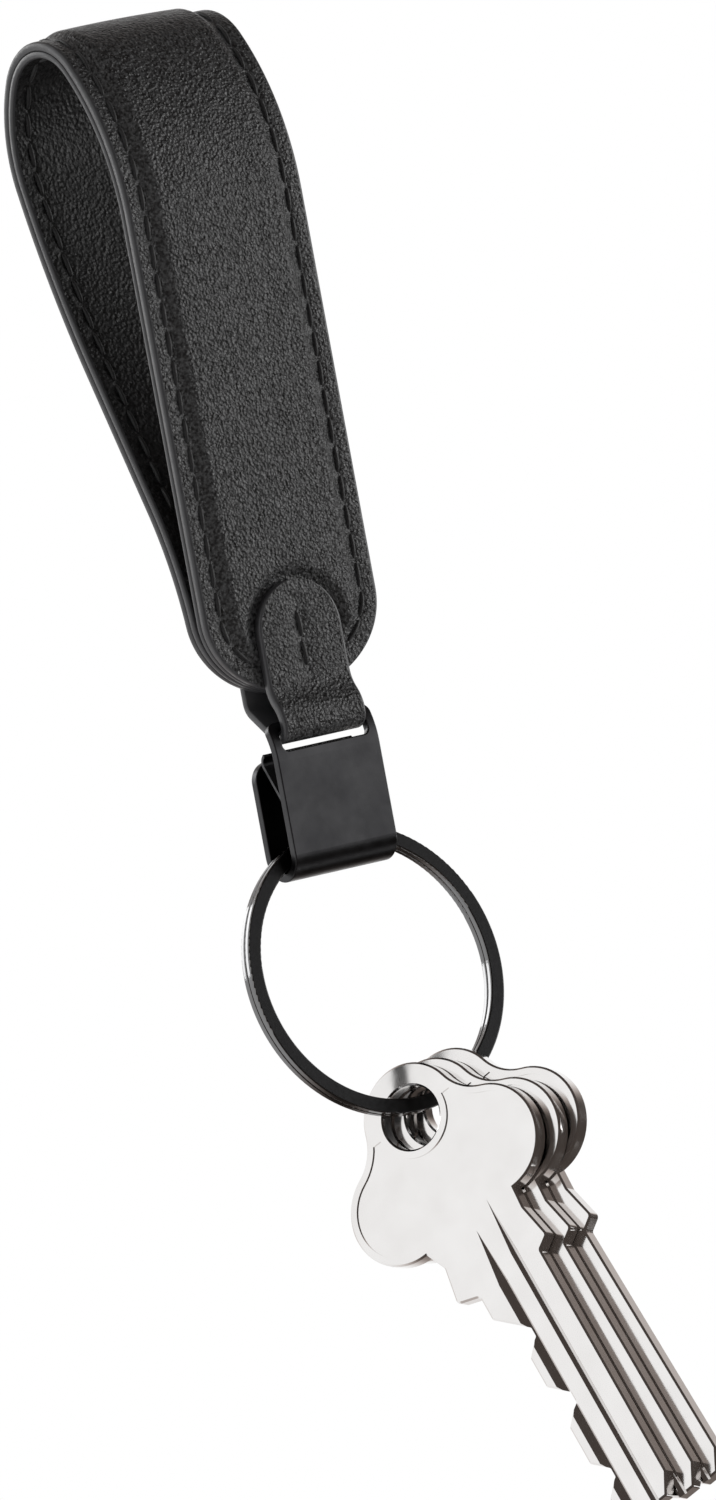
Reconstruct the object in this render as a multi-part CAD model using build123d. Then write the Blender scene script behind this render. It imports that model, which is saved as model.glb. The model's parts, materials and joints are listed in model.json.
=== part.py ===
from build123d import *
from math import asin, cos, pi, radians, sin, sqrt
import os

os.makedirs("parts", exist_ok=True)

# Leather loop key holder with a hooked clasp, a two-turn split ring and three keys.
# Frame: origin at the hang point, the middle of the loop's inner top surface.
# X runs across the strap, -Y is the front face, +Z is up. Millimetres.

# --- strap: two leathers, sewn at the edges over a raised padded panel
STRAP_WIDTH = 24.0
LINING = 0.85
OUTER_LEATHER = 1.05
STRAP = LINING + OUTER_LEATHER
PANEL_RISE = 0.85
PANEL_TOP_HALF = 7.4
PANEL_FOOT_HALF = 9.2
PAD_TOP_HALF = 7.2
PAD_FOOT_HALF = 8.4
PAD_HEIGHT = 0.9
TAPE_HALF = 6.0
TAPE = 0.2
END_HEIGHT = 9.6          # height of the half-oval ends
PANEL_TO_END = 15.7       # the raised panel stops this far above the strap's ends
PAD_TO_END = 17.0         # the padding stops inside the panel
STITCH_INSET = 2.2        # stitch line to strap edge
THREAD = 0.5
THREAD_PROUD = 0.22
THREAD_LIFT = 0.02        # daylight under a thread, so that it only touches
INNER_RUN_TO_END = 22.0   # the inner thread shows only where the legs stand apart

# --- side view of the loop, outer face, from the top both ways down (radius, turn)
TOP_RADIUS = 8.0
FRONT_TOP_TURN = 52.0
FRONT_BEND_RADIUS = 30.0
FRONT_BEND_TURN = 38.0
FRONT_STRAIGHT = 55.4
BACK_TOP_TURN = 60.0
BACK_BEND_RADIUS = 17.0
BACK_BEND_TURN = 43.0
BACK_SWEEP_RADIUS = 130.0
BACK_SWEEP_TURN = 10.0
BACK_STRAIGHT = 17.8
BACK_FOOT_RADIUS = 45.0
BACK_FOOT_TURN = 23.0

# --- clasp: one bent strip with a slot at its top, and its leaf gate
CLASP_WIDTH = 14.2
PLATE = 1.0
HOOK_INNER_RADIUS = 2.0
HOOK_CENTRE_Y = -11.76
HOOK_CENTRE_Z = -92.8
BACK_LEG_TOP_Z = -82.2
PLATE_BEND_Z = -82.24     # above this the plate leans back towards the tab
PLATE_BEND_RADIUS = 8.0
PLATE_BEND_TURN = 22.0
BAR_HEIGHT = 1.0
SLOT_HEIGHT = 2.5
SLOT_WIDTH = 11.9
SLOT_CORNER = 0.7
BAR_CENTRE_UP = 0.85      # along the leaning top, from the end of its bend
EAR_RADIUS = 1.1
LEG_CORNER = 2.2
PLATE_EDGE = 0.15         # rounding of every edge of the strip
GATE = 0.35
GATE_WIDTH = 12.4
GATE_GAP = 0.06
GATE_ROOT_Z = -89.6
GATE_FLEX_Z = -88.2
GATE_LEAN = 31.0
GATE_LENGTH = 5.75

# --- connecting tab
TAB_WIDTH = 11.4
TAB = 1.05
TAB_GAP = 0.05
TAB_TOP_Z = -62.5
TAB_FOLD_INNER = 0.95
TAB_SET_RADIUS = 4.0
TAB_REAR_LEAN = 52.0
TAB_REAR_RADIUS = 1.8
TAB_THREAD_TOP = -65.0
TAB_THREAD_FOOT = -73.3

# --- split ring: one flat wire wound twice, stepping over inside the clasp
RING_OUTER = 16.85
RING_RADIAL = 1.75
COIL = 0.82
COIL_EDGE = 0.2           # rounding of each turn's edges
COIL_GAP = 0.04
STEP_HALF = 3.3           # half the length of the step between the turns
END_GAP = 0.4
RING_SWING = 12.5         # the ring hangs forward of the clasp by this angle
RING_DROP = 14.9          # clasp's bend centre to ring's centre
RING_SIDE = 0.3

# --- keys, in their own plane: hole at the origin, tip at -Y, cut edge at -X
KEY = 2.0
KEY_NORMAL = (-0.873, -0.409, 0.265)
KEY_BLADE = (-0.006, -0.535, -0.845)
KEY_HOLES = ((-0.76, -19.29, -124.29), (1.98, -19.87, -124.31), (4.68, -19.99, -123.72))
KEY_FAN = 0.75            # each key leans out from the one before by this angle
KEY_HOLE = 3.65
KEY_EDGE = 0.22           # bevel round the faces
BLADE_ROUND = 0.35        # the corners of the blade's outline are worn round
STOP_ROUND = 0.6          # and those of its stops more so
RIM_RADIUS = 6.25
LOBE_RADIUS = 6.42
LOBE_OUT = 6.76
LOBE_DOWN = 7.97
WAIST_RADIUS = 6.0
NECK_TOP_HALF = 6.7
NECK_DOWN = 17.0
NECK_LEFT = -5.5
NECK_RIGHT = 6.5
STOP_LEFT = -6.3
STOP_RIGHT = 7.4
STOP_DOWN = 21.4
BLADE_TOP = 22.4
BLADE_LEFT = -3.5
BLADE_RIGHT = 5.75
BLADE_TIP = 55.0
CUTS = ((29.6, 0.0), (38.7, 0.4), (48.8, 0.0))       # (down, how far across each cut reaches)
CUT_FLAT = 0.6
CUT_SLOPE = 1.0           # across per down
LAND = -1.8               # the edge's height between the cuts
LAND_TOP = 28.0
PANEL_RECESS = 0.18
PANEL_INSET = 0.9
PANEL_FOOT = 13.5
PANEL_COLLAR = 4.65
GROOVE_DEPTH = 0.5
GROOVE_FLOOR = 0.72       # where the deepest line lies, as a share of the width
GROOVE_RUN_OUT = 7.0
GROOVE_JOIN = 0.1         # the full-depth cut starts this far inside the run-out
GROOVES = ((0.2, 15.8, 1.25), (3.1, 13.6, 0.9))     # (across, start, width)
BACK_GROOVE_SHIFT = 1.2   # the grooves of the two faces miss each other


def asin_deg(value):
    """Inverse sine in degrees."""
    return asin(value) * 180 / pi


class Walk:
    """A side-view path in the YZ plane. Headings lean from +Z towards +Y, in degrees."""

    def __init__(self, y, z, heading):
        self.y = y
        self.z = z
        self.heading = heading
        self.edges = []

    def ahead(self, length):
        """Straight on."""
        y = self.y + length * sin(radians(self.heading))
        z = self.z + length * cos(radians(self.heading))
        self.edges.append(Edge.make_line((0, self.y, self.z), (0, y, z)))
        self.y = y
        self.z = z
        return self

    def turn(self, radius, angle):
        """A tangent arc; a positive angle turns from +Z towards +Y."""
        side = 1 if angle > 0 else -1
        first = radians(self.heading)
        centre_y = self.y + side * radius * cos(first)
        centre_z = self.z - side * radius * sin(first)
        points = []
        for share in (0.5, 1.0):
            now = radians(self.heading + share * angle)
            y = centre_y - side * radius * cos(now)
            z = centre_z + side * radius * sin(now)
            points.append((0, y, z))
        self.edges.append(Edge.make_three_point_arc((0, self.y, self.z), points[0], points[1]))
        self.y = points[1][1]
        self.z = points[1][2]
        self.heading += angle
        return self

    def wire(self):
        return Wire(self.edges)


def strip(walk_start, path, outline):
    """Sweep an outline of (x, out) points along a path; out is measured to the path's left."""
    y, z, heading = walk_start
    across = Plane(origin=(0, y, z), x_dir=(1, 0, 0), z_dir=(0, sin(radians(heading)), cos(radians(heading))))
    face = across * make_face(Polyline(*[(x, -out) for x, out in outline], close=True).edges())
    return sweep(face, path=path)


def band(x_from, x_to, low, high):
    """A rectangular outline."""
    return [(x_from, low), (x_to, low), (x_to, high), (x_from, high)]


def save(name, shape):
    """Write one node."""
    shape.label = name
    export_step(shape, f"parts/{name}.step")
    print(name, round(shape.volume, 2))


# ---------------------------------------------------------------- strap

def strap_walk(front_y, end_z, trim=0.0):
    """The strap's inner face, from trim above the front end over the top to the back end."""
    walk = Walk(front_y, end_z + trim, 0)
    walk.ahead(FRONT_STRAIGHT - trim)
    walk.turn(FRONT_BEND_RADIUS - STRAP, FRONT_BEND_TURN)
    walk.turn(TOP_RADIUS - STRAP, FRONT_TOP_TURN)
    apex = (walk.y, walk.z)
    walk.turn(TOP_RADIUS - STRAP, BACK_TOP_TURN)
    walk.turn(BACK_BEND_RADIUS - STRAP, BACK_BEND_TURN)
    walk.turn(BACK_SWEEP_RADIUS - STRAP, BACK_SWEEP_TURN)
    walk.ahead(BACK_STRAIGHT)
    walk.turn(BACK_FOOT_RADIUS + STRAP, -BACK_FOOT_TURN)
    foot_z = walk.z
    walk.ahead(walk.z - end_z)
    return walk, apex, foot_z


apex_y, apex_z = strap_walk(0, 0)[1]
FRONT_Y = -apex_y                       # the front leg's inner face
END_Z = -apex_z                         # both ends of the strap
BACK_Y = strap_walk(FRONT_Y, END_Z)[0].y
FOOT_Z = strap_walk(FRONT_Y, END_Z)[2]  # below this the back leg is upright


def strap_strip(outline, trim=0.0):
    """One layer of the strap, cut off level at trim above the strap's ends."""
    walk = strap_walk(FRONT_Y, END_Z, trim)[0]
    layer = strip((FRONT_Y, END_Z + trim, 0), walk.wire(), outline)
    if trim:
        layer -= Pos(0, 0, END_Z + trim) * Box(60, 60, 60, align=(Align.CENTER, Align.CENTER, Align.MAX))
    return layer


def end_waste():
    """What the oval ends leave over at the foot of the strap."""
    oval = Plane.XZ * Ellipse(STRAP_WIDTH / 2, END_HEIGHT)
    square = Plane.XZ * Rectangle(STRAP_WIDTH + 2, END_HEIGHT + 1, align=(Align.CENTER, Align.MAX))
    waste = extrude(square - oval, amount=20, both=True)
    return Pos(0, FRONT_Y, END_Z + END_HEIGHT) * waste


def build_strap():
    half = STRAP_WIDTH / 2
    waste = end_waste()
    pad_low = LINING
    pad_high = LINING + PAD_HEIGHT
    pad_foot = (PAD_FOOT_HALF, pad_low)
    pad_outline = [pad_foot, (PAD_TOP_HALF, pad_high), (-PAD_TOP_HALF, pad_high), (-PAD_FOOT_HALF, pad_low)]
    panel_outline = [
        (PANEL_FOOT_HALF, STRAP),
        (PANEL_TOP_HALF, STRAP + PANEL_RISE),
        (-PANEL_TOP_HALF, STRAP + PANEL_RISE),
        (-PANEL_FOOT_HALF, STRAP),
    ]
    lining = strap_strip(band(-half, half, 0, LINING)) - waste
    border = strap_strip(band(-half, half, LINING, STRAP)) - waste
    panel = strap_strip(panel_outline, PANEL_TO_END)
    pad = strap_strip(pad_outline, PAD_TO_END)
    tape = strap_strip(band(-TAPE_HALF, TAPE_HALF, LINING, LINING + TAPE), PAD_TO_END)
    save("strap_outer_leather", border + panel - pad)
    save("strap_lining", lining)
    save("strap_padding", pad - tape)
    save("strap_reinforcement_tape", tape)


def build_edge_stitching():
    middle = STRAP_WIDTH / 2 - STITCH_INSET
    for name, side in (("left", -1), ("right", 1)):
        x_from = side * middle - THREAD / 2
        x_to = side * middle + THREAD / 2
        outer_face = STRAP + THREAD_LIFT
        outer = strap_strip(band(x_from, x_to, outer_face, outer_face + THREAD_PROUD), END_HEIGHT)
        inner = strap_strip(band(x_from, x_to, -THREAD_LIFT - THREAD_PROUD, -THREAD_LIFT), INNER_RUN_TO_END)
        save(f"edge_stitching_{name}", Compound(children=[outer.solid(), inner.solid()]))


# ---------------------------------------------------------------- connecting tab

lean = radians(PLATE_BEND_TURN)
bend_top_y = HOOK_CENTRE_Y - HOOK_INNER_RADIUS - PLATE / 2 + PLATE_BEND_RADIUS * (1 - cos(lean))
bend_top_z = PLATE_BEND_Z + PLATE_BEND_RADIUS * sin(lean)
BAR_Y = bend_top_y + BAR_CENTRE_UP * sin(lean)
BAR_Z = bend_top_z + BAR_CENTRE_UP * cos(lean)


def tab_walk():
    """The tab's middle line: down the front, round the clasp's bar, up the back."""
    fold = TAB_FOLD_INNER + TAB / 2
    front_y = FRONT_Y - STRAP - TAB_GAP - TAB / 2
    shift = front_y - (BAR_Y - fold)
    set_angle = 2 * asin_deg(sqrt(shift / (4 * TAB_SET_RADIUS)))
    set_drop = 2 * TAB_SET_RADIUS * sin(radians(set_angle))
    walk = Walk(front_y, TAB_TOP_Z, 180)
    walk.ahead(TAB_TOP_Z - BAR_Z - set_drop)
    walk.turn(TAB_SET_RADIUS, set_angle)
    walk.turn(TAB_SET_RADIUS, -set_angle)
    walk.turn(fold, -(180 - TAB_REAR_LEAN))
    back_y = BACK_Y + STRAP + TAB_GAP + TAB / 2
    lean_y = back_y - walk.y - TAB_REAR_RADIUS * (1 - cos(radians(TAB_REAR_LEAN)))
    walk.ahead(lean_y / sin(radians(TAB_REAR_LEAN)))
    walk.turn(TAB_REAR_RADIUS, -TAB_REAR_LEAN)
    walk.ahead(FOOT_Z - walk.z)
    rise = BACK_FOOT_RADIUS - TAB_GAP - TAB / 2
    walk.turn(rise, asin_deg((TAB_TOP_Z - FOOT_Z) / rise))
    return walk, front_y


def build_tab():
    walk, front_y = tab_walk()
    half = TAB_WIDTH / 2
    strap_like = strip((front_y, TAB_TOP_Z, 180), walk.wire(), band(-half, half, -TAB / 2, TAB / 2))
    round_top = Plane.XZ * Circle(half)
    square_top = Plane.XZ * Rectangle(TAB_WIDTH + 2, half + 1, align=(Align.CENTER, Align.MIN))
    waste = Pos(0, FRONT_Y, TAB_TOP_Z - half) * extrude(square_top - round_top, amount=20, both=True)
    save("connector_tab", strap_like - waste)
    face = -TAB / 2 - THREAD_LIFT
    thread = band(-THREAD / 2, THREAD / 2, face - THREAD_PROUD, face)
    threads = strip((front_y, TAB_TOP_Z, 180), walk.wire(), thread)
    window = Box(9, 40, TAB_THREAD_TOP - TAB_THREAD_FOOT, align=(Align.CENTER, Align.CENTER, Align.MAX))
    threads = threads & (Pos(0, 0, TAB_THREAD_TOP) * window)
    save("tab_stitching", Compound(children=threads.solids()))


# ---------------------------------------------------------------- clasp

def is_leg_corner(edge, half):
    """True for the two upright corners at the top of the back leg."""
    middle = edge.center()
    return abs(edge.length - PLATE) < 0.01 and abs(middle.X) > half - 0.1 and middle.Y > HOOK_CENTRE_Y


def build_clasp():
    half = CLASP_WIDTH / 2
    leg_y = HOOK_CENTRE_Y + HOOK_INNER_RADIUS + PLATE / 2
    walk = Walk(leg_y, BACK_LEG_TOP_Z, 180)
    walk.ahead(BACK_LEG_TOP_Z - HOOK_CENTRE_Z)
    walk.turn(HOOK_INNER_RADIUS + PLATE / 2, 180)
    walk.ahead(PLATE_BEND_Z - HOOK_CENTRE_Z)
    walk.turn(PLATE_BEND_RADIUS, PLATE_BEND_TURN)
    walk.ahead(BAR_CENTRE_UP + BAR_HEIGHT / 2)
    hook = strip((leg_y, BACK_LEG_TOP_Z, 180), walk.wire(), band(-half, half, -PLATE / 2, PLATE / 2))
    slot_middle = -(BAR_HEIGHT + SLOT_HEIGHT) / 2
    slot_centre = (0, BAR_Y + slot_middle * sin(lean), BAR_Z + slot_middle * cos(lean))
    slot = Box(SLOT_WIDTH, 6 * PLATE, SLOT_HEIGHT)
    slot = fillet(slot.edges().filter_by(Axis.Y), SLOT_CORNER)
    hook -= Pos(*slot_centre) * Rot(-PLATE_BEND_TURN, 0, 0) * slot
    corners = hook.edges().filter_by(lambda e: abs(e.length - PLATE) < 0.01 and abs(e.center().X) > half - 0.1)
    hook = fillet(corners.filter_by(lambda e: e.center().Z > BAR_Z), EAR_RADIUS)
    hook = fillet(hook.edges().filter_by(lambda e: is_leg_corner(e, half)), LEG_CORNER)
    save("clasp_hook", fillet(hook.edges(), PLATE_EDGE))


def build_gate():
    half = GATE_WIDTH / 2
    root_y = HOOK_CENTRE_Y - HOOK_INNER_RADIUS + GATE_GAP + GATE / 2
    walk = Walk(root_y, GATE_ROOT_Z, 0)
    walk.ahead(GATE_FLEX_Z - GATE_ROOT_Z)
    walk.turn(1.0, GATE_LEAN)
    walk.ahead(GATE_LENGTH)
    walk.turn(0.9, -GATE_LEAN - 45)
    walk.ahead(0.35)
    gate = strip((root_y, GATE_ROOT_Z, 0), walk.wire(), band(-half, half, -GATE / 2, GATE / 2))
    save("clasp_gate_spring", gate)


# ---------------------------------------------------------------- split ring

def ring_place():
    """Where the ring hangs: its own frame has the ring's axis along Y and its top at +Z."""
    swing = Pos(RING_SIDE, HOOK_CENTRE_Y, HOOK_CENTRE_Z) * Rot(-RING_SWING, 0, 0)
    return swing * Pos(0, 0, -RING_DROP)


def annulus(width):
    """A flat ring about Y with rounded edges."""
    outer = Cylinder(RING_OUTER, width)
    inner = Cylinder(RING_OUTER - RING_RADIAL, width + 1)
    flat = outer - inner
    return Rot(90, 0, 0) * fillet(flat.edges().filter_by(GeomType.CIRCLE), COIL_EDGE)


def build_ring():
    pitch = COIL + COIL_GAP
    turns = []
    for side in (-1, 1):
        end_x = -side * (STEP_HALF + END_GAP / 2)
        away = Box(2 * STEP_HALF, 10, RING_OUTER, align=(Align.CENTER, Align.CENTER, Align.MIN))
        gap = Pos(end_x, 0, 0) * Box(END_GAP, 10, RING_OUTER, align=(Align.CENTER, Align.CENTER, Align.MIN))
        turns.append(Pos(0, side * pitch / 2, 0) * annulus(COIL) - away - gap)
    slope = pitch / (2 * STEP_HALF)
    corners = []
    for x, rise in ((-1, -1), (1, -1), (1, 1), (-1, 1)):
        corners.append((x * STEP_HALF, x * STEP_HALF * slope + rise * COIL / 2))
    step = extrude(make_face(Polyline(*corners, close=True).edges()), amount=RING_OUTER)
    step = step & annulus(COIL + pitch)
    save("split_ring", ring_place() * (turns[0] + turns[1] + step))


# ---------------------------------------------------------------- keys

def waist_outline(side):
    """The web between rim and lobe, hollowed by a circle that touches both."""
    apart = sqrt(LOBE_OUT**2 + LOBE_DOWN**2)
    rim_reach = RIM_RADIUS + WAIST_RADIUS
    lobe_reach = LOBE_RADIUS + WAIST_RADIUS
    along = (rim_reach**2 - lobe_reach**2 + apart**2) / (2 * apart)
    away = sqrt(rim_reach**2 - along**2)
    hollow_x = side * (along * LOBE_OUT + away * LOBE_DOWN) / apart
    hollow_y = (away * LOBE_OUT - along * LOBE_DOWN) / apart
    corners = [(0, 0), (side * LOBE_OUT, -LOBE_DOWN), (hollow_x, hollow_y)]
    web = make_face(Polyline(*corners, close=True).edges())
    return web - Pos(hollow_x, hollow_y) * Circle(WAIST_RADIUS)


def bow_outline():
    """The bow: a rim round the hole flowing into two side lobes."""
    bow = Circle(RIM_RADIUS) + Pos(0, -LOBE_DOWN) * Rectangle(2 * LOBE_OUT, 2 * LOBE_RADIUS)
    for side in (-1, 1):
        bow += Pos(side * LOBE_OUT, -LOBE_DOWN) * Circle(LOBE_RADIUS)
        bow += waist_outline(side)
    return bow


def blade_outline():
    """Neck, stops and blade with its cuts."""
    points = [(-NECK_TOP_HALF, -LOBE_DOWN), (-NECK_TOP_HALF, -14.2), (NECK_LEFT, -NECK_DOWN)]
    points += [(STOP_LEFT, -STOP_DOWN), (BLADE_LEFT, -BLADE_TOP), (BLADE_LEFT, -BLADE_TIP + 2.5)]
    points += [(BLADE_LEFT + 3.5, -BLADE_TIP + 1.6), (BLADE_RIGHT - 3.6, -BLADE_TIP)]
    points += [(BLADE_RIGHT - 1.4, -BLADE_TIP), (BLADE_RIGHT, -BLADE_TIP + 2.4), (BLADE_RIGHT, -BLADE_TOP)]
    points += [(STOP_RIGHT, -STOP_DOWN), (NECK_RIGHT, -NECK_DOWN), (NECK_TOP_HALF, -14.2)]
    points += [(NECK_TOP_HALF, -LOBE_DOWN)]
    blade = make_face(Polyline(*points, close=True).edges())
    blade -= Pos(LAND, -LAND_TOP) * Rectangle(20, BLADE_TIP, align=(Align.MAX, Align.MAX))
    for down, reach in CUTS:
        blade -= cut_outline(down, reach)
    blade = fillet(blade.vertices().filter_by(lambda v: not is_stop_corner(v)), BLADE_ROUND)
    return fillet(blade.vertices().filter_by(is_stop_corner), STOP_ROUND)


def is_stop_corner(vertex):
    """Whether a corner of the outline is the outer corner of a stop."""
    return abs(vertex.Y + STOP_DOWN) < 0.01


def cut_outline(down, reach):
    """One cut: a short flat with a slope each side."""
    depth = reach - BLADE_LEFT + 0.2
    spread = CUT_FLAT + depth / CUT_SLOPE
    corners = [(reach - depth, -down - spread), (reach, -down - CUT_FLAT)]
    corners += [(reach, -down + CUT_FLAT), (reach - depth, -down + spread)]
    return make_face(Polyline(*corners, close=True).edges())


def groove_cutter(across, start, width):
    """A V-shaped groove in a face at height 0: full depth to the tip, rising to nothing at its start."""
    spare = 2.0                             # how far the cutter stands above the face
    left = across - GROOVE_FLOOR * width
    right = left + width
    left_slope = GROOVE_FLOOR * width / GROOVE_DEPTH
    right_slope = (1 - GROOVE_FLOOR) * width / GROOVE_DEPTH
    corners = [(left - spare * left_slope, spare), (across, -GROOVE_DEPTH), (right + spare * right_slope, spare)]
    section = make_face(Polyline(*corners, close=True).edges())
    deep_from = -start - GROOVE_RUN_OUT
    near_end = deep_from + GROOVE_JOIN
    straight = Pos(0, near_end, 0) * Rot(90, 0, 0) * extrude(section, amount=BLADE_TIP + 1 + near_end)
    rise = asin_deg(GROOVE_DEPTH / GROOVE_RUN_OUT)
    run_out = Pos(0, deep_from, 0) * Rot(90 + rise, 0, 0) * extrude(section, amount=-GROOVE_RUN_OUT - 3)
    return straight + run_out


def key_blank():
    """One key, its thickness along Z."""
    outline = bow_outline() + blade_outline() - Circle(KEY_HOLE)
    key = extrude(outline, amount=KEY / 2, both=True)
    key = chamfer(key.edges().filter_by(lambda e: abs(abs(e.center().Z) - KEY / 2) < 0.001), KEY_EDGE)
    panel = offset(bow_outline(), -PANEL_INSET) - Circle(PANEL_COLLAR)
    panel -= Rectangle(40, 40, align=(Align.CENTER, Align.MIN))
    panel -= Pos(0, -PANEL_FOOT) * Rectangle(40, 40, align=(Align.CENTER, Align.MAX))
    for side in (-1, 1):
        key -= Pos(0, 0, side * (KEY / 2 - PANEL_RECESS)) * extrude(panel, amount=side * 1.0)
        shift = (1 - side) / 2 * BACK_GROOVE_SHIFT
        turned = Rot(0, 90 - side * 90, 0)
        for across, start, width in GROOVES:
            groove = groove_cutter(side * (across + shift), start, width)
            key -= turned * Pos(0, 0, KEY / 2) * groove
    return key


def build_keys():
    blank = key_blank()
    normal = Vector(*KEY_NORMAL)
    across = normal.cross(Vector(*KEY_BLADE))
    for number, hole in enumerate(KEY_HOLES):
        place = Plane(origin=hole, x_dir=across, z_dir=normal)
        save(f"key_{number + 1}", place * Rot(0, 0, number * KEY_FAN) * blank)


build_strap()
build_edge_stitching()
build_tab()
build_clasp()
build_gate()
build_ring()
build_keys()
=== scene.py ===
import json
from math import asin, cos, degrees, exp, pi, radians, sin, sqrt

import bpy
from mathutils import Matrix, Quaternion, Vector, noise


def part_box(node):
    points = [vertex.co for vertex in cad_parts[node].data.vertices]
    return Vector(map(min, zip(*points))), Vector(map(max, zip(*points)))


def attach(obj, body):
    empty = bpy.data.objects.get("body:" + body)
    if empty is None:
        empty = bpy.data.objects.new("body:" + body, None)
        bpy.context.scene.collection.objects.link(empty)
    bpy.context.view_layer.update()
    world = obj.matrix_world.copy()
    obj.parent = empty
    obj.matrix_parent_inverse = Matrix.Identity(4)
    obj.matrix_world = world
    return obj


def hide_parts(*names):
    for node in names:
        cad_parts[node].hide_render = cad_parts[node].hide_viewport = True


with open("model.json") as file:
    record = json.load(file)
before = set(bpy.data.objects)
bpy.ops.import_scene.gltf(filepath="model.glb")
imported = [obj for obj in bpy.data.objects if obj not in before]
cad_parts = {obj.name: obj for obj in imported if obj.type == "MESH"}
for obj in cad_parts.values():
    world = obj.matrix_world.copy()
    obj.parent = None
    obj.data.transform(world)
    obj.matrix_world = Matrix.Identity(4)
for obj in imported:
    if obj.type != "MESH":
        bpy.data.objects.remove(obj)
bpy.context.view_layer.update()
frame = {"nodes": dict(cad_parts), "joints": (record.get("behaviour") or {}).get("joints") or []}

# Leather loop key holder: the frame's hook, gate, ring and keys get their metals here,
# and the strap, its tab and all the sewing are modelled as leather and thread.
# Lengths below are millimetres; MM turns them into the frame's metres.
MM = 0.001

# --- strap, measured like its CAD layers
STRAP_HALF = 12.0
LINING = 0.85
STRAP = 1.9
SEAM = 0.03               # daylight between the two leathers
END_HEIGHT = 9.6          # height of the half-oval ends
PANEL_RISE = 0.85
PANEL_START = 2.75        # from the edge to the foot of the panel's shoulder
PANEL_SHOULDER = 1.3
PANEL_CROWN = 0.2         # how much lower the panel is at its sides, as a share of its rise
STITCH_INSET = 2.2
GROOVE = 0.18             # depth of the valley that the sewing pulls in
GROOVE_WIDTH = 0.42
LINING_GROOVE = 0.8       # the lining's valley, as a share of the outer leather's
EDGE_ROUND = 0.38
EDGE_STEPS = 4
EDGE_BACK = 0.12          # bevel where an edge meets the leather's back
CROWN_REACH = 1.35        # the crown falls off as if the strap were this much wider
TAB_CLEARANCE = 0.3       # flat leather left round the tab
TAB_RECESS = 1.5          # width of the slope round the tab
FACE_FADE = 2.0           # the face's unevenness dies out this near to the edge
WAVINESS = 0.05           # how far the hand-finished faces wander
WAVES_ACROSS = 0.16       # waves to a millimetre
WAVES_ALONG = 0.1
OUTER_WAVES, LINING_WAVES, TAB_WAVES = 1.0, 5.0, 9.0     # seeds, so that no two faces wander alike

# --- strap's side view, inner face: (radius, turn in degrees) from the front leg over to the back leg
FRONT_STRAIGHT = 55.4
TOP_INNER = 6.1
STRAP_BENDS = ((28.1, 38.0), (TOP_INNER, 52.0), (TOP_INNER, 60.0), (15.1, 43.0), (128.1, 10.0))
BACK_STRAIGHT = 17.8
BACK_FOOT_INNER = 46.9
BACK_FOOT_TURN = -23.0
FOOT_RISE = 5.1

# --- connecting tab
TAB_HALF = 5.7
TAB = 1.05
TAB_GAP = 0.05
TAB_FOLD = 1.475          # radius of its middle line round the bar
TAB_SET_RADIUS = 4.0
TAB_REAR_LEAN = 52.0
TAB_REAR_RADIUS = 1.8
TAB_CREASE = 0.28
TAB_CREASE_WIDTH = 1.1
TAB_CREASE_FROM = 1.2     # the crease and the stitches in it run between these places, from each end
TAB_CREASE_TO = 12.2
TAB_CREASE_FADE = 1.6
TAB_SEWN_FROM = 2.3
TAB_SEWN_TO = 11.2
TAB_UNEVEN = 0.5          # the tab's waviness, as a share of the strap's

# --- mesh fineness: spacing across at the sewing and away from it, rows in an oval end, spacing along
STRAP_MESH = (0.13, 0.42, 40, 0.5)
TAB_MESH = (0.14, 0.4, 26, 0.3)
MESH_GROWTH = 0.3         # how fast the spacing across opens out
FIRST_ROW = 0.6           # the first row of an oval end, as a share of a row's turn

# --- sewing
THREAD = 0.26             # radius
STITCH_PITCH = 3.3
STITCH_LENGTH = 3.0
STITCH_SLANT = 0.16
THREAD_SIDES = 10
THREAD_RINGS = 13
THREAD_ARCH = 1.5         # how high a stitch arches, and how deep its ends sink, in thread radii
THREAD_SUNK = 0.9
THREAD_TIP = 0.25         # a stitch's radius at its ends, as a share of the thread's
PLY_TWIST = 2.6           # turns of the ply in one stitch
PLY_WAIST = 0.86          # radius between the two plies, and how much they stand out from it
PLY_SWELL = 0.16
INNER_RUN = 22.0          # the lining's stitches show from here up
FOOT_FIRST = 52           # degrees: where the stitch line comes out from under the tab, round the oval end
FOOT_STEP = 4


def smooth(t):
    """0 to 1 with flat ends."""
    t = min(1.0, max(0.0, t))
    return t * t * (3 - 2 * t)


# ---------------------------------------------------------------- side-view lines

def run_on(y, z, heading, length, turn, run):
    """Where a line is after a run along a piece that turns by turn over its length."""
    first = radians(heading)
    if turn == 0:
        return y + run * sin(first), z + run * cos(first), heading
    bend = radians(turn) / length
    now = first + bend * run
    beside = (cos(first) - cos(now)) / bend
    along = (sin(now) - sin(first)) / bend
    return y + beside, z + along, heading + turn * run / length


class SideLine:
    """A line in the YZ plane made of straight and round pieces; headings lean from +Z to +Y."""

    def __init__(self, y, z, heading):
        self.pieces = []
        self.length = 0.0
        self.tip = (y, z, heading)

    def ahead(self, length):
        self.add(length, 0.0)

    def turn(self, radius, angle):
        self.add(radius * abs(radians(angle)), angle)

    def add(self, length, turn):
        self.pieces.append((self.length, self.tip, length, turn))
        self.tip = run_on(*self.tip, length, turn, length)
        self.length += length

    def at(self, s):
        """Position and heading at a distance along the line."""
        for start, tip, length, turn in self.pieces:
            if s <= start + length:
                break
        return run_on(*tip, length, turn, s - start)

    def point(self, x, s, out):
        """A point beside the line; out is towards its left."""
        y, z, heading = self.at(s)
        lean = radians(heading)
        return Vector((x, y - cos(lean) * out, z + sin(lean) * out)) * MM


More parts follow.
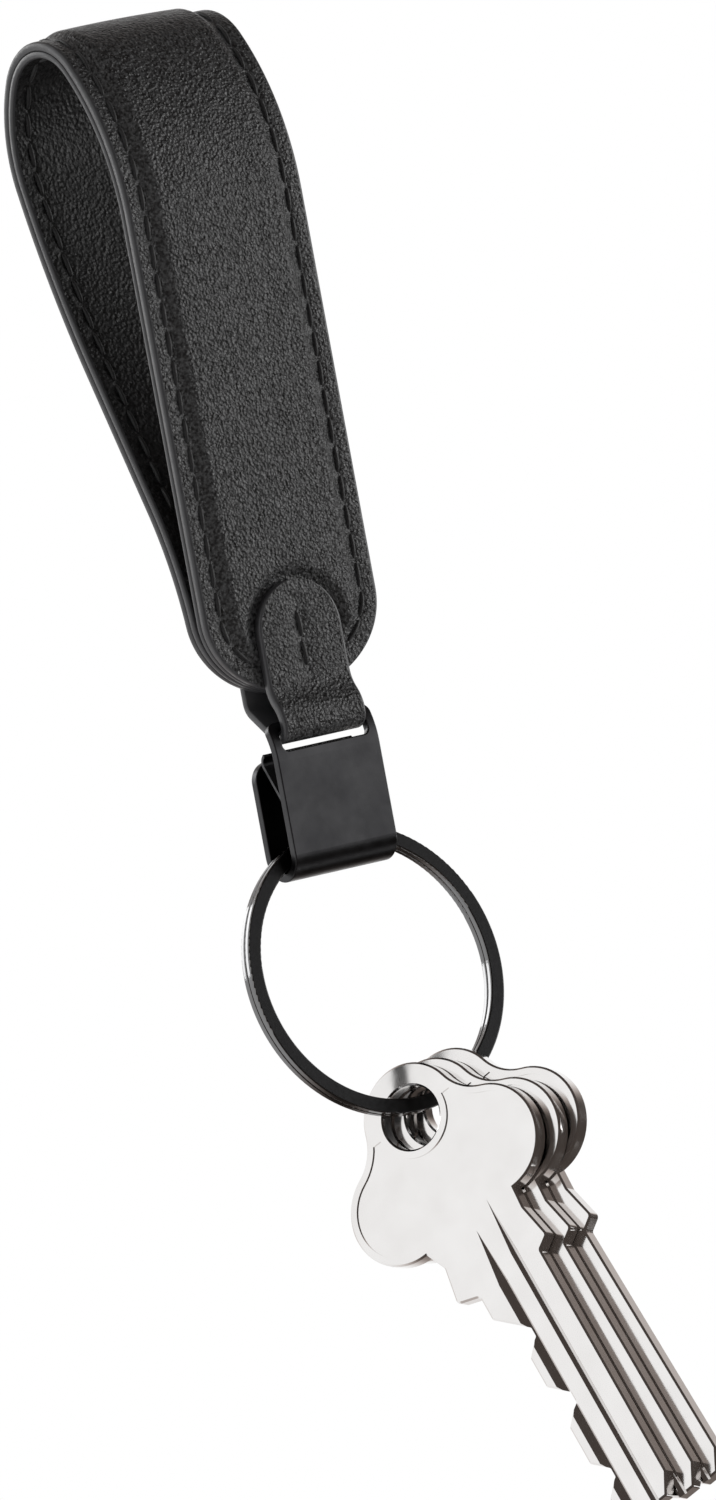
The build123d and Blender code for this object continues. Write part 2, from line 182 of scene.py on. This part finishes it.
def strap_line():
    """The strap's inner face."""
    lining_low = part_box("strap_lining")[0] / MM
    line = SideLine(lining_low.y + LINING, lining_low.z, 0.0)
    line.ahead(FRONT_STRAIGHT)
    for radius, angle in STRAP_BENDS:
        line.turn(radius, angle)
    line.ahead(BACK_STRAIGHT)
    line.turn(BACK_FOOT_INNER, BACK_FOOT_TURN)
    line.ahead(FOOT_RISE)
    return line


def joint_place(name):
    """A joint's origin in millimetres."""
    place = next(joint["pos_m"] for joint in frame["joints"] if joint["name"] == name)
    return Vector(place) / MM


def tab_line(strap):
    """The tab's middle line: down the front, round the clasp's bar, up the back."""
    top_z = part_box("connector_tab")[1].z / MM
    bar = joint_place("clasp_swing")
    front_y = strap.at(0)[0] - STRAP - TAB_GAP - TAB / 2
    foot_y, foot_z = strap.at(strap.length - FOOT_RISE)[:2]
    back_y = foot_y + STRAP + TAB_GAP + TAB / 2
    shift = front_y - (bar.y - TAB_FOLD)
    set_angle = degrees(2 * asin(sqrt(shift / (4 * TAB_SET_RADIUS))))
    line = SideLine(front_y, top_z, 180.0)
    line.ahead(top_z - bar.z - 2 * TAB_SET_RADIUS * sin(radians(set_angle)))
    line.turn(TAB_SET_RADIUS, set_angle)
    line.turn(TAB_SET_RADIUS, -set_angle)
    line.turn(TAB_FOLD, TAB_REAR_LEAN - 180)
    lean = radians(TAB_REAR_LEAN)
    line.ahead((back_y - line.tip[0] - TAB_REAR_RADIUS * (1 - cos(lean))) / sin(lean))
    line.turn(TAB_REAR_RADIUS, -TAB_REAR_LEAN)
    line.ahead(foot_z - line.tip[1])
    radius = BACK_FOOT_INNER - STRAP - TAB_GAP - TAB / 2
    line.turn(radius, degrees(asin((top_z - foot_z) / radius)))
    return line


# ---------------------------------------------------------------- leather skins

def end_half(half, end_height, from_end):
    """Half the width of a strip with half-oval ends."""
    if from_end >= end_height:
        return half
    return half * sqrt(max(0.0, 1 - ((end_height - from_end) / end_height) ** 2))


def edge_distance(half, end_height, x, from_end):
    """How far a point is from the outline of such a strip."""
    if from_end >= end_height:
        return half - abs(x)
    up = end_height - from_end
    reach = sqrt((x / half) ** 2 + (up / end_height) ** 2) + 1e-6
    slope = sqrt((x / half**2) ** 2 + (up / end_height**2) ** 2) / reach + 1e-6
    return (1 - reach) / slope


def stations(half, fine_at, fine, coarse):
    """Distances in from the edge, close together where the sewing is."""
    found = [EDGE_ROUND]
    while found[-1] < half:
        found.append(found[-1] + min(coarse, fine + MESH_GROWTH * abs(found[-1] - fine_at)))
    scale = (half - EDGE_ROUND) / (found[-1] - EDGE_ROUND)
    return [EDGE_ROUND + (d - EDGE_ROUND) * scale for d in found]


def lengthways(length, end_height, end_rows, step):
    """Distances along a strip, close together round its oval ends."""
    foot = [end_height * (1 - cos(pi / 2 * (row + FIRST_ROW) / end_rows)) for row in range(end_rows)]
    count = int((length - 2 * end_height) / step)
    middle = [end_height + (length - 2 * end_height) * i / count for i in range(count + 1)]
    return foot + middle + [length - s for s in reversed(foot)]


def ring(line, s, half, face, back, distances, full_half, shape):
    """One cross-section: a shaped face, rounded edges, a plain back. Out is to the line's left."""
    side = 1 if face > back else -1
    squeeze = half / full_half
    inner = [-half + d * squeeze for d in distances]
    across = inner + [-x for x in reversed(inner[:-1])]
    points = [(x, face + side * shape(x, s)) for x in across]
    rim = []
    edge = EDGE_ROUND * squeeze
    for step in range(1, EDGE_STEPS + 1):
        angle = pi / 2 * step / EDGE_STEPS
        rim.append((half - edge + edge * sin(angle), face - side * EDGE_ROUND * (1 - cos(angle))))
    rim.append((half, back + side * EDGE_BACK))
    rim.append((half - EDGE_BACK * squeeze, back))
    points += rim
    points.append((0.0, back))
    points += [(-x, out) for x, out in reversed(rim)]
    return [line.point(x, s, out) for x, out in points], len(across)


def skin(name, rings, face_count, materials):
    """A closed mesh over the rings; the first face_count points of each are its leather face."""
    count = len(rings[0])
    points = [point for one in rings for point in one]
    faces = []
    marks = []
    for row in range(len(rings) - 1):
        for i in range(count):
            j = (i + 1) % count
            faces.append((row * count + i, row * count + j, (row + 1) * count + j, (row + 1) * count + i))
            marks.append(0 if i < face_count - 1 else 1)
    faces.append(tuple(range(count)))
    faces.append(tuple(reversed(range(len(points) - count, len(points)))))
    marks += [1, 1]
    return piece(name, points, faces, marks, materials)


def piece(name, points, faces, marks, materials):
    """A smooth-shaded object from lists of points and faces."""
    mesh = bpy.data.meshes.new(name)
    mesh.from_pydata([tuple(point) for point in points], [], faces)
    for material in materials:
        mesh.materials.append(material)
    mesh.polygons.foreach_set("material_index", marks)
    mesh.polygons.foreach_set("use_smooth", [True] * len(faces))
    mesh.update()
    made = bpy.data.objects.new(name, mesh)
    bpy.context.scene.collection.objects.link(made)
    bpy.context.view_layer.objects.active = made
    made.select_set(True)
    bpy.ops.object.mode_set(mode="EDIT")
    bpy.ops.mesh.select_all(action="SELECT")
    bpy.ops.mesh.normals_make_consistent(inside=False)
    bpy.ops.object.mode_set(mode="OBJECT")
    made.select_set(False)
    return made


def waver(x, s, seed):
    """Slow unevenness of a hand-finished face."""
    return WAVINESS * noise.noise(Vector((x * WAVES_ACROSS, s * WAVES_ALONG, seed)))


# ---------------------------------------------------------------- strap

STRAP_LINE = strap_line()
TAB_LINE = tab_line(STRAP_LINE)
TAB_TOP_FROM_END = TAB_LINE.at(0)[1] - STRAP_LINE.at(0)[1]


def from_strap_end(s):
    """Distance to the strap's nearer end."""
    return min(s, STRAP_LINE.length - s)


def sewn_valley(x, s):
    """The dip along the stitch line."""
    inset = edge_distance(STRAP_HALF, END_HEIGHT, x, from_strap_end(s))
    return -GROOVE * exp(-(((inset - STITCH_INSET) / GROOVE_WIDTH) ** 2))


def outer_shape(x, s):
    """The outer leather over its padding: a crowned panel that steps down round the tab."""
    from_end = from_strap_end(s)
    inset = edge_distance(STRAP_HALF, END_HEIGHT, x, from_end)
    shoulder = smooth((inset - PANEL_START) / PANEL_SHOULDER)
    above = max(0.0, from_end - (TAB_TOP_FROM_END - TAB_HALF))
    beside = smooth((sqrt(x * x + above * above) - TAB_HALF - TAB_CLEARANCE) / TAB_RECESS)
    crown = 1 - PANEL_CROWN * (x / STRAP_HALF * CROWN_REACH) ** 2
    face = waver(x, s, OUTER_WAVES) * smooth(inset / FACE_FADE)
    return PANEL_RISE * shoulder * beside * crown + sewn_valley(x, s) + face * beside


def lining_shape(x, s):
    """The lining's face, drawn in a little by the sewing."""
    return sewn_valley(x, s) * LINING_GROOVE - abs(waver(x, s, LINING_WAVES))


def strap_layer(name, face, back, shape, materials):
    """One leather of the strap."""
    fine, coarse, end_rows, step = STRAP_MESH
    distances = stations(STRAP_HALF, STITCH_INSET, fine, coarse)
    rings = []
    for s in lengthways(STRAP_LINE.length, END_HEIGHT, end_rows, step):
        half = end_half(STRAP_HALF, END_HEIGHT, from_strap_end(s))
        made, face_count = ring(STRAP_LINE, s, half, face, back, distances, STRAP_HALF, shape)
        rings.append(made)
    return skin(name, rings, face_count, materials)


# ---------------------------------------------------------------- sewing

def stitch(points, faces, centres, lifts):
    """Adds one twisted two-ply stitch along the given centre points."""
    base = len(points)
    rings = len(centres)
    for i, centre in enumerate(centres):
        ahead = (centres[min(i + 1, rings - 1)] - centres[max(i - 1, 0)]).normalized()
        lift = (lifts[i] - ahead * lifts[i].dot(ahead)).normalized()
        beside = ahead.cross(lift)
        taper = sqrt(max(0.0, 1 - abs(2 * i / (rings - 1) - 1) ** 4)) * (1 - THREAD_TIP) + THREAD_TIP
        for k in range(THREAD_SIDES):
            angle = 2 * pi * k / THREAD_SIDES
            twist = angle - 2 * pi * PLY_TWIST * i / (rings - 1)
            radius = THREAD * taper * (PLY_WAIST + PLY_SWELL * abs(cos(twist)))
            points.append(centre + (beside * cos(angle) + lift * sin(angle)) * (radius * MM))
    for i in range(rings - 1):
        for k in range(THREAD_SIDES):
            j = (k + 1) % THREAD_SIDES
            row = base + i * THREAD_SIDES
            faces.append((row + k, row + j, row + THREAD_SIDES + j, row + THREAD_SIDES + k))
    faces.append(tuple(range(base, base + THREAD_SIDES)))
    faces.append(tuple(range(len(points) - THREAD_SIDES, len(points))))


def sew(points, faces, line, route, surface, outwards):
    """Stitches at an even pitch along a route of (x, s) points on a face of a strip."""
    lengths = [0.0]
    for (x0, s0), (x1, s1) in zip(route, route[1:]):
        lengths.append(lengths[-1] + sqrt((x1 - x0) ** 2 + (s1 - s0) ** 2))

    def on_route(distance):
        i = 0
        while i < len(lengths) - 2 and lengths[i + 1] < distance:
            i += 1
        share = (distance - lengths[i]) / (lengths[i + 1] - lengths[i])
        x = route[i][0] + (route[i + 1][0] - route[i][0]) * share
        s = route[i][1] + (route[i + 1][1] - route[i][1]) * share
        return x, s

    count = int(lengths[-1] / STITCH_PITCH)
    spare = (lengths[-1] - count * STITCH_PITCH) / 2
    for number in range(count):
        start = spare + number * STITCH_PITCH + (STITCH_PITCH - STITCH_LENGTH) / 2
        centres = []
        lifts = []
        for i in range(THREAD_RINGS):
            share = i / (THREAD_RINGS - 1)
            x, s = on_route(start + share * STITCH_LENGTH)
            proud = THREAD_ARCH * sin(pi * share) ** 0.5 - THREAD_SUNK
            height = surface(x, s) + outwards * proud * THREAD
            slant = STITCH_SLANT * (share - 0.5)
            centres.append(line.point(x + slant, s, height))
            lifts.append(line.point(x, s, height + outwards) - line.point(x, s, height))
        stitch(points, faces, centres, lifts)


def edge_route(side, foot_run):
    """The stitch line on one side of the strap; a foot run takes it on round both oval ends to the tab."""
    half = STRAP_HALF - STITCH_INSET
    depth = END_HEIGHT - STITCH_INSET
    route = []
    if foot_run:
        for angle in range(FOOT_FIRST, 0, -FOOT_STEP):
            route.append((side * half * cos(radians(angle)), END_HEIGHT - depth * sin(radians(angle))))
        straight_from = END_HEIGHT
    else:
        straight_from = INNER_RUN
    mirrored = [(x, STRAP_LINE.length - s) for x, s in reversed(route)]
    route += [(side * half, straight_from), (side * half, STRAP_LINE.length - straight_from)]
    return route + mirrored


def edge_sewing(side, name, material):
    """All stitches of one edge, on the outer face and on the lining."""
    points = []
    faces = []
    sew(points, faces, STRAP_LINE, edge_route(side, True), lambda x, s: STRAP - GROOVE, 1)
    sew(points, faces, STRAP_LINE, edge_route(side, False), lambda x, s: GROOVE * LINING_GROOVE, -1)
    return piece(name, points, faces, [0] * len(faces), [material])


# ---------------------------------------------------------------- tab

def tab_crease(x, s):
    """The sewn line down the tab's front and back draws the leather in."""
    from_end = min(s, TAB_LINE.length - s)
    sewn = smooth((from_end - TAB_CREASE_FROM) / TAB_CREASE_FADE)
    sewn *= smooth((TAB_CREASE_TO - from_end) / TAB_CREASE_FADE)
    drawn_in = TAB_CREASE * sewn * exp(-((x / TAB_CREASE_WIDTH) ** 2))
    return TAB_UNEVEN * waver(x, s, TAB_WAVES) - drawn_in


def tab_leather(materials):
    """The tab, one leather strip with round ends, folded round the bar."""
    fine, coarse, end_rows, step = TAB_MESH
    distances = stations(TAB_HALF, TAB_HALF, fine, coarse)
    rings = []
    for s in lengthways(TAB_LINE.length, TAB_HALF, end_rows, step):
        half = end_half(TAB_HALF, TAB_HALF, min(s, TAB_LINE.length - s))
        made, face_count = ring(TAB_LINE, s, half, -TAB / 2, TAB / 2, distances, TAB_HALF, tab_crease)
        rings.append(made)
    return skin("tab_leather", rings, face_count, materials)


def tab_sewing(material):
    """The short run of stitches down the tab, front and back."""
    points = []
    faces = []
    front = [(0.0, TAB_SEWN_FROM), (0.0, TAB_SEWN_TO)]
    back = [(0.0, TAB_LINE.length - s) for x, s in reversed(front)]
    for route in (front, back):
        sew(points, faces, TAB_LINE, route, lambda x, s: -TAB / 2 + TAB_CREASE, -1)
    return piece("tab_sewing", points, faces, [0] * len(faces), [material])


# ---------------------------------------------------------------- materials

WHITE = (1, 1, 1, 1)


def colour_mix(tree, factor, low, high):
    """One colour where the factor is 0, another where it is 1; the second may be another node's output."""
    made = tree.nodes.new("ShaderNodeMix")
    made.data_type = "RGBA"
    first, second = [one for one in made.inputs if one.type == "RGBA"]
    tree.links.new(factor, made.inputs["Factor"])
    first.default_value = low
    if isinstance(high, tuple):
        second.default_value = high
    else:
        tree.links.new(high, second)
    return next(one for one in made.outputs if one.type == "RGBA")


def towards(tree, source, direction):
    """How squarely the source's vector points in a direction, from -1 to 1."""
    made = tree.nodes.new("ShaderNodeVectorMath")
    made.operation = "DOT_PRODUCT"
    made.inputs[1].default_value = direction
    tree.links.new(source, made.inputs[0])
    return made.outputs["Value"]


class Nodes:
    """A node material under construction, with its Principled shader ready."""

    def __init__(self, name):
        self.material = bpy.data.materials.new(name)
        self.material.use_nodes = True
        self.tree = self.material.node_tree
        self.shader = self.tree.nodes["Principled BSDF"]
        self.where = self.tree.nodes.new("ShaderNodeTexCoord").outputs["Object"]

    def add(self, kind, **values):
        """A new node with some of its inputs set."""
        node = self.tree.nodes.new(kind)
        for key, value in values.items():
            node.inputs[key.replace("_", " ")].default_value = value
        return node

    def link(self, source, target):
        self.tree.links.new(source, target)

    def noise(self, size, detail=2.0, stretch=None):
        """A noise pattern whose features are about size millimetres across."""
        made = self.add("ShaderNodeTexNoise", Scale=1 / (size * MM), Detail=detail)
        place = self.where
        if stretch:
            mapping = self.add("ShaderNodeMapping", Scale=stretch)
            self.link(place, mapping.inputs["Vector"])
            place = mapping.outputs["Vector"]
        self.link(place, made.inputs["Vector"])
        return made.outputs["Fac"]

    def cells(self, size):
        """A cell pattern, size millimetres from cell to cell."""
        made = self.add("ShaderNodeTexVoronoi", Scale=1 / (size * MM))
        self.link(self.where, made.inputs["Vector"])
        return made.outputs["Distance"]

    def span(self, source, low, high, from_low=0.3, from_high=0.7):
        """The source mapped onto low to high."""
        made = self.add("ShaderNodeMapRange")
        made.inputs["From Min"].default_value = from_low
        made.inputs["From Max"].default_value = from_high
        made.inputs["To Min"].default_value = low
        made.inputs["To Max"].default_value = high
        self.link(source, made.inputs["Value"])
        return made.outputs["Result"]

    def colour(self, source, dark, light):
        """The base colour, between dark where the source is 0 and light where it is 1."""
        self.link(colour_mix(self.tree, source, (*dark, 1), (*light, 1)), self.shader.inputs["Base Color"])

    def bump(self, source, depth, strength=1.0, under=None):
        """Relief of the given depth in millimetres."""
        made = self.add("ShaderNodeBump", Strength=strength, Distance=depth * MM)
        self.link(source, made.inputs["Height"])
        if under:
            self.link(under, made.inputs["Normal"])
        self.link(made.outputs["Normal"], self.shader.inputs["Normal"])
        return made.outputs["Normal"]

    def set(self, **values):
        """Sets inputs of the shader itself."""
        for key, value in values.items():
            self.shader.inputs[key.replace("_", " ")].default_value = value


def leather(name, dark, light, rough, grain):
    """Fine-grained black leather: pebbles with pores between them, and slow patches of wear."""
    made = Nodes(name)
    made.colour(made.span(made.noise(grain, 3.0), 0.0, 1.0, 0.4, 0.62), dark, light)
    made.link(made.span(made.noise(1.2, 4.0), rough - 0.07, rough + 0.07), made.shader.inputs["Roughness"])
    pebbles = made.bump(made.cells(grain), 0.13, 1.0)
    made.bump(made.noise(grain * 1.2, 3.0), 0.2, 1.0, pebbles)
    made.set(Specular_IOR_Level=0.5)
    return made.material


def edge_paint():
    """Sealed leather edge: smooth dark grey paint with faint unevenness."""
    made = Nodes("edge_paint")
    made.colour(made.noise(1.5, 2.0), (0.028, 0.028, 0.03), (0.05, 0.05, 0.053))
    made.link(made.span(made.noise(0.8), 0.34, 0.46), made.shader.inputs["Roughness"])
    made.bump(made.noise(0.9, 2.0), 0.05, 0.5)
    return made.material


def thread():
    """Waxed black polyester thread."""
    made = Nodes("thread")
    made.colour(made.noise(0.12, 2.0), (0.003, 0.003, 0.0035), (0.01, 0.01, 0.011))
    made.link(made.span(made.noise(0.3), 0.45, 0.6), made.shader.inputs["Roughness"])
    made.bump(made.noise(0.06, 2.0, (1.0, 1.0, 0.25)), 0.03, 0.6)
    made.set(Sheen_Weight=0.15)
    return made.material


def metal(name, dark, light, rough_low, rough_high, marks, size=1.2):
    """A plated metal with a fine finish, slow tone changes and light marks."""
    made = Nodes(name)
    made.colour(made.span(made.noise(4.0, 3.0), 0.0, 1.0), dark, light)
    roughness = made.span(made.noise(size, 4.0), rough_low, rough_high)
    made.link(roughness, made.shader.inputs["Roughness"])
    made.bump(made.noise(size / 2, 4.0), marks, 0.5)
    made.set(Metallic=1.0)
    return made.material


def ring_metal_with_painted_light():
    """Black nickel with painted light: the base colour is near black on the ring's two flat faces, a
    painted shade, and much lighter on its edges and walls so that their reflections come out brighter, a
    painted highlight; the faces are satin, the edges and walls polished.
    """
    made = Nodes("black_nickel_with_painted_light")
    normal = made.add("ShaderNodeTexCoord").outputs["Normal"]
    facing = towards(made.tree, normal, ring_axis())
    either_face = made.add("ShaderNodeMath")
    either_face.operation = "ABSOLUTE"
    made.link(facing, either_face.inputs[0])
    satin_and_painted_dark_faces = made.span(either_face.outputs["Value"], 0.0, 1.0, 0.8, 0.99)
    # painted light: a near-black base on the flat faces is painted shade, a lighter base on the edges and
    # walls is a painted highlight
    made.colour(satin_and_painted_dark_faces, (0.18, 0.18, 0.182), (0.022, 0.022, 0.0225))
    uneven = made.add("ShaderNodeMath")
    uneven.operation = "MULTIPLY"
    made.link(made.span(satin_and_painted_dark_faces, 0.06, 0.42, 0.0, 1.0), uneven.inputs[0])
    made.link(made.span(made.noise(0.5, 4.0), 0.8, 1.2), uneven.inputs[1])
    made.link(uneven.outputs["Value"], made.shader.inputs["Roughness"])
    made.bump(made.noise(0.3, 3.0), 0.015, 0.4)
    made.set(Metallic=1.0)
    return made.material


def ring_axis():
    """The split ring's axis: of the two leans that its box allows, the one along which it is thinner."""
    points = [vertex.co for vertex in frame["nodes"]["split_ring"].data.vertices]
    low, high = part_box("split_ring")
    lean = asin((high.y - low.y) / (high.z - low.z))
    axes = [Vector((0, -cos(tilt), sin(tilt))) for tilt in (lean, -lean)]
    spreads = [max(axis.dot(p) for p in points) - min(axis.dot(p) for p in points) for axis in axes]
    return axes[spreads.index(min(spreads))]


OUTER_LOOK = ((0.006, 0.006, 0.0062), (0.05, 0.05, 0.051), 0.4, 0.37)
LEATHER = leather("black_leather", *OUTER_LOOK)
LINING_LEATHER = leather("lining_leather", (0.002, 0.002, 0.0021), (0.014, 0.014, 0.0143), 0.56, 0.45)
TAB_LEATHER = leather("tab_leather", *OUTER_LOOK)
PAINT = edge_paint()
THREAD_BLACK = thread()
CLASP_METAL = metal("satin_black_metal", (0.035, 0.035, 0.037), (0.05, 0.05, 0.052), 0.28, 0.36, 0.01)
GATE_STEEL = metal("dark_spring_steel", (0.05, 0.05, 0.052), (0.08, 0.08, 0.083), 0.3, 0.4, 0.01)
RING_METAL_WITH_PAINTED_LIGHT = ring_metal_with_painted_light()
KEY_METAL = metal("polished_nickel", (0.8, 0.785, 0.775), (0.84, 0.828, 0.82), 0.09, 0.15, 0.002, 2.5)


# ---------------------------------------------------------------- pieces

outer = strap_layer("strap_outer", STRAP, LINING + SEAM, outer_shape, [LEATHER, PAINT])
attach(outer, "strap")
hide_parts("strap_outer_leather", "strap_padding", "strap_reinforcement_tape")

inner = strap_layer("strap_inner", 0.0, LINING, lining_shape, [LINING_LEATHER, PAINT])
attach(inner, "strap")
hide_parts("strap_lining")

for side, side_name in ((-1, "left"), (1, "right")):
    sewing = edge_sewing(side, f"edge_sewing_{side_name}", THREAD_BLACK)
    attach(sewing, "strap")
    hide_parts(f"edge_stitching_{side_name}")

tab = tab_leather([TAB_LEATHER, PAINT])
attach(tab, "strap")
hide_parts("connector_tab")

tab_thread = tab_sewing(THREAD_BLACK)
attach(tab_thread, "strap")
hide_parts("tab_stitching")


def finish_metal(node, material):
    """Gives a CAD node its material."""
    mesh = frame["nodes"][node].data
    mesh.materials.clear()
    mesh.materials.append(material)


finish_metal("clasp_hook", CLASP_METAL)
finish_metal("clasp_gate_spring", GATE_STEEL)
finish_metal("split_ring", RING_METAL_WITH_PAINTED_LIGHT)
for number in (1, 2, 3):
    finish_metal(f"key_{number}", KEY_METAL)


# ---------------------------------------------------------------- studio

FLOOR_DROP = 0.35         # metres below the hang point
FLOOR_SIDE = 1.3
FLOOR_GLOW = 0.65         # keeps the floor white where no lamp reaches it
WALL_LIGHT = 0.4          # what the walls give to matt surfaces
REFLECTED_DIM = 0.06
REFLECTED_WHITE = 1.02
REFLECTED_TINT = (1.0, 0.8, 0.7, 1)     # the colour of what is dim in the reflections
# the white walls that the metals reflect: direction, and the cosines where each begins and is full
WHITE_LEFT = ((-0.85, 0.5, 0.1), 0.2, 0.7)
WHITE_BEHIND = ((0.57, 0.82, 0.0), 0.6, 0.95)


def pale_floor():
    """A wide white floor far enough down for its shadows to be soft."""
    mesh = bpy.data.meshes.new("floor")
    half = FLOOR_SIDE / 2
    corners = [(-half, -half), (half, -half), (half, half), (-half, half)]
    mesh.from_pydata([(x, y, -FLOOR_DROP) for x, y in corners], [], [(0, 1, 2, 3)])
    made = bpy.data.objects.new("floor", mesh)
    bpy.context.scene.collection.objects.link(made)
    white = Nodes("pale_floor")
    white.set(Base_Color=(0.9, 0.9, 0.9, 1), Roughness=0.9)
    white.set(Emission_Color=WHITE, Emission_Strength=FLOOR_GLOW)
    mesh.materials.append(white.material)
    made.visible_glossy = False


def wall_light(tree, where, direction, dark_at, light_at):
    """How bright the studio looks in reflections: dim away from a direction, white towards it."""
    facing = towards(tree, where, Vector(direction).normalized())
    tone = tree.nodes.new("ShaderNodeMapRange")
    tone.interpolation_type = "SMOOTHSTEP"
    tone.inputs["From Min"].default_value = dark_at
    tone.inputs["From Max"].default_value = light_at
    tone.inputs["To Min"].default_value = REFLECTED_DIM
    tone.inputs["To Max"].default_value = REFLECTED_WHITE
    tree.links.new(facing, tone.inputs["Value"])
    return tone.outputs["Result"]


def studio_world():
    """White walls; what the metals reflect is white to the left and behind, and dim elsewhere."""
    world = bpy.data.worlds.new("studio")
    bpy.context.scene.world = world
    world.use_nodes = True
    tree = world.node_tree
    sky = tree.nodes["Background"]
    where = tree.nodes.new("ShaderNodeTexCoord").outputs["Generated"]
    both = tree.nodes.new("ShaderNodeMath")
    both.operation = "MAXIMUM"
    tree.links.new(wall_light(tree, where, *WHITE_LEFT), both.inputs[0])
    tree.links.new(wall_light(tree, where, *WHITE_BEHIND), both.inputs[1])
    path = tree.nodes.new("ShaderNodeLightPath")
    glossy = tree.nodes.new("ShaderNodeMix")
    glossy.inputs["A"].default_value = WALL_LIGHT
    tree.links.new(path.outputs["Is Glossy Ray"], glossy.inputs["Factor"])
    tree.links.new(both.outputs["Value"], glossy.inputs["B"])
    seen = tree.nodes.new("ShaderNodeMix")
    seen.inputs["B"].default_value = 1.0
    tree.links.new(path.outputs["Is Camera Ray"], seen.inputs["Factor"])
    tree.links.new(glossy.outputs["Result"], seen.inputs["A"])
    tree.links.new(seen.outputs["Result"], sky.inputs["Strength"])
    reflected = colour_mix(tree, both.outputs["Value"], REFLECTED_TINT, WHITE)
    tint = colour_mix(tree, path.outputs["Is Glossy Ray"], WHITE, reflected)
    tree.links.new(tint, sky.inputs["Color"])


def softbox(name, direction, distance, size, power, mirrored=True):
    """A square area light aimed at the object; the metals show it only if it is mirrored."""
    lamp = bpy.data.lights.new(name, "AREA")
    lamp.size = size
    lamp.energy = power
    made = bpy.data.objects.new(name, lamp)
    bpy.context.scene.collection.objects.link(made)
    aim = Vector(direction).normalized()
    made.visible_camera = False
    made.visible_glossy = mirrored
    made.location = AIM + aim * distance
    made.rotation_mode = "QUATERNION"
    made.rotation_quaternion = aim.to_track_quat("Z", "Y")


# --- camera
VIEW_AZIMUTH = -35.0
VIEW_ELEVATION = 3.0
VIEW_ROLL = 10.5          # the camera's tilt, which leans the object's top to the left
LENS = 400.0
SENSOR = 36.0
PICTURE_HEIGHT = 0.1685   # metres that the picture's height covers at the object
AIM = Vector((3.99, -14.64, -82.82)) * MM


def photo_camera():
    """A long lens at the photograph's angle."""
    camera = bpy.data.cameras.new("camera")
    camera.lens = LENS
    camera.sensor_width = SENSOR
    camera.clip_end = 1000.0
    made = bpy.data.objects.new("camera", camera)
    bpy.context.scene.collection.objects.link(made)
    azimuth = radians(VIEW_AZIMUTH)
    level = cos(radians(VIEW_ELEVATION))
    back = Vector((sin(azimuth) * level, -cos(azimuth) * level, sin(radians(VIEW_ELEVATION))))
    made.location = AIM + back * (PICTURE_HEIGHT * LENS / SENSOR)
    made.rotation_mode = "QUATERNION"
    roll = Quaternion((0, 0, 1), radians(-VIEW_ROLL))
    made.rotation_quaternion = back.to_track_quat("Z", "Y") @ roll
    bpy.context.scene.camera = made


pale_floor()
studio_world()
softbox("back_left_light", (-0.3, 0.9, 0.3), 1.0, 0.5, 2.6)
softbox("front_light", (0.6, -0.8, 0.04), 1.0, 0.5, 1.2)
softbox("right_light", (0.9, -0.45, 0.1), 1.0, 0.5, 4.0)
softbox("top_light", (0.0, 0.5, 1.0), 0.9, 0.4, 1.2, mirrored=False)
softbox("low_light", (0.57, -0.25, -0.7), 0.25, 0.07, 0.015)
photo_camera()
bpy.context.scene.view_settings.view_transform = "Standard"
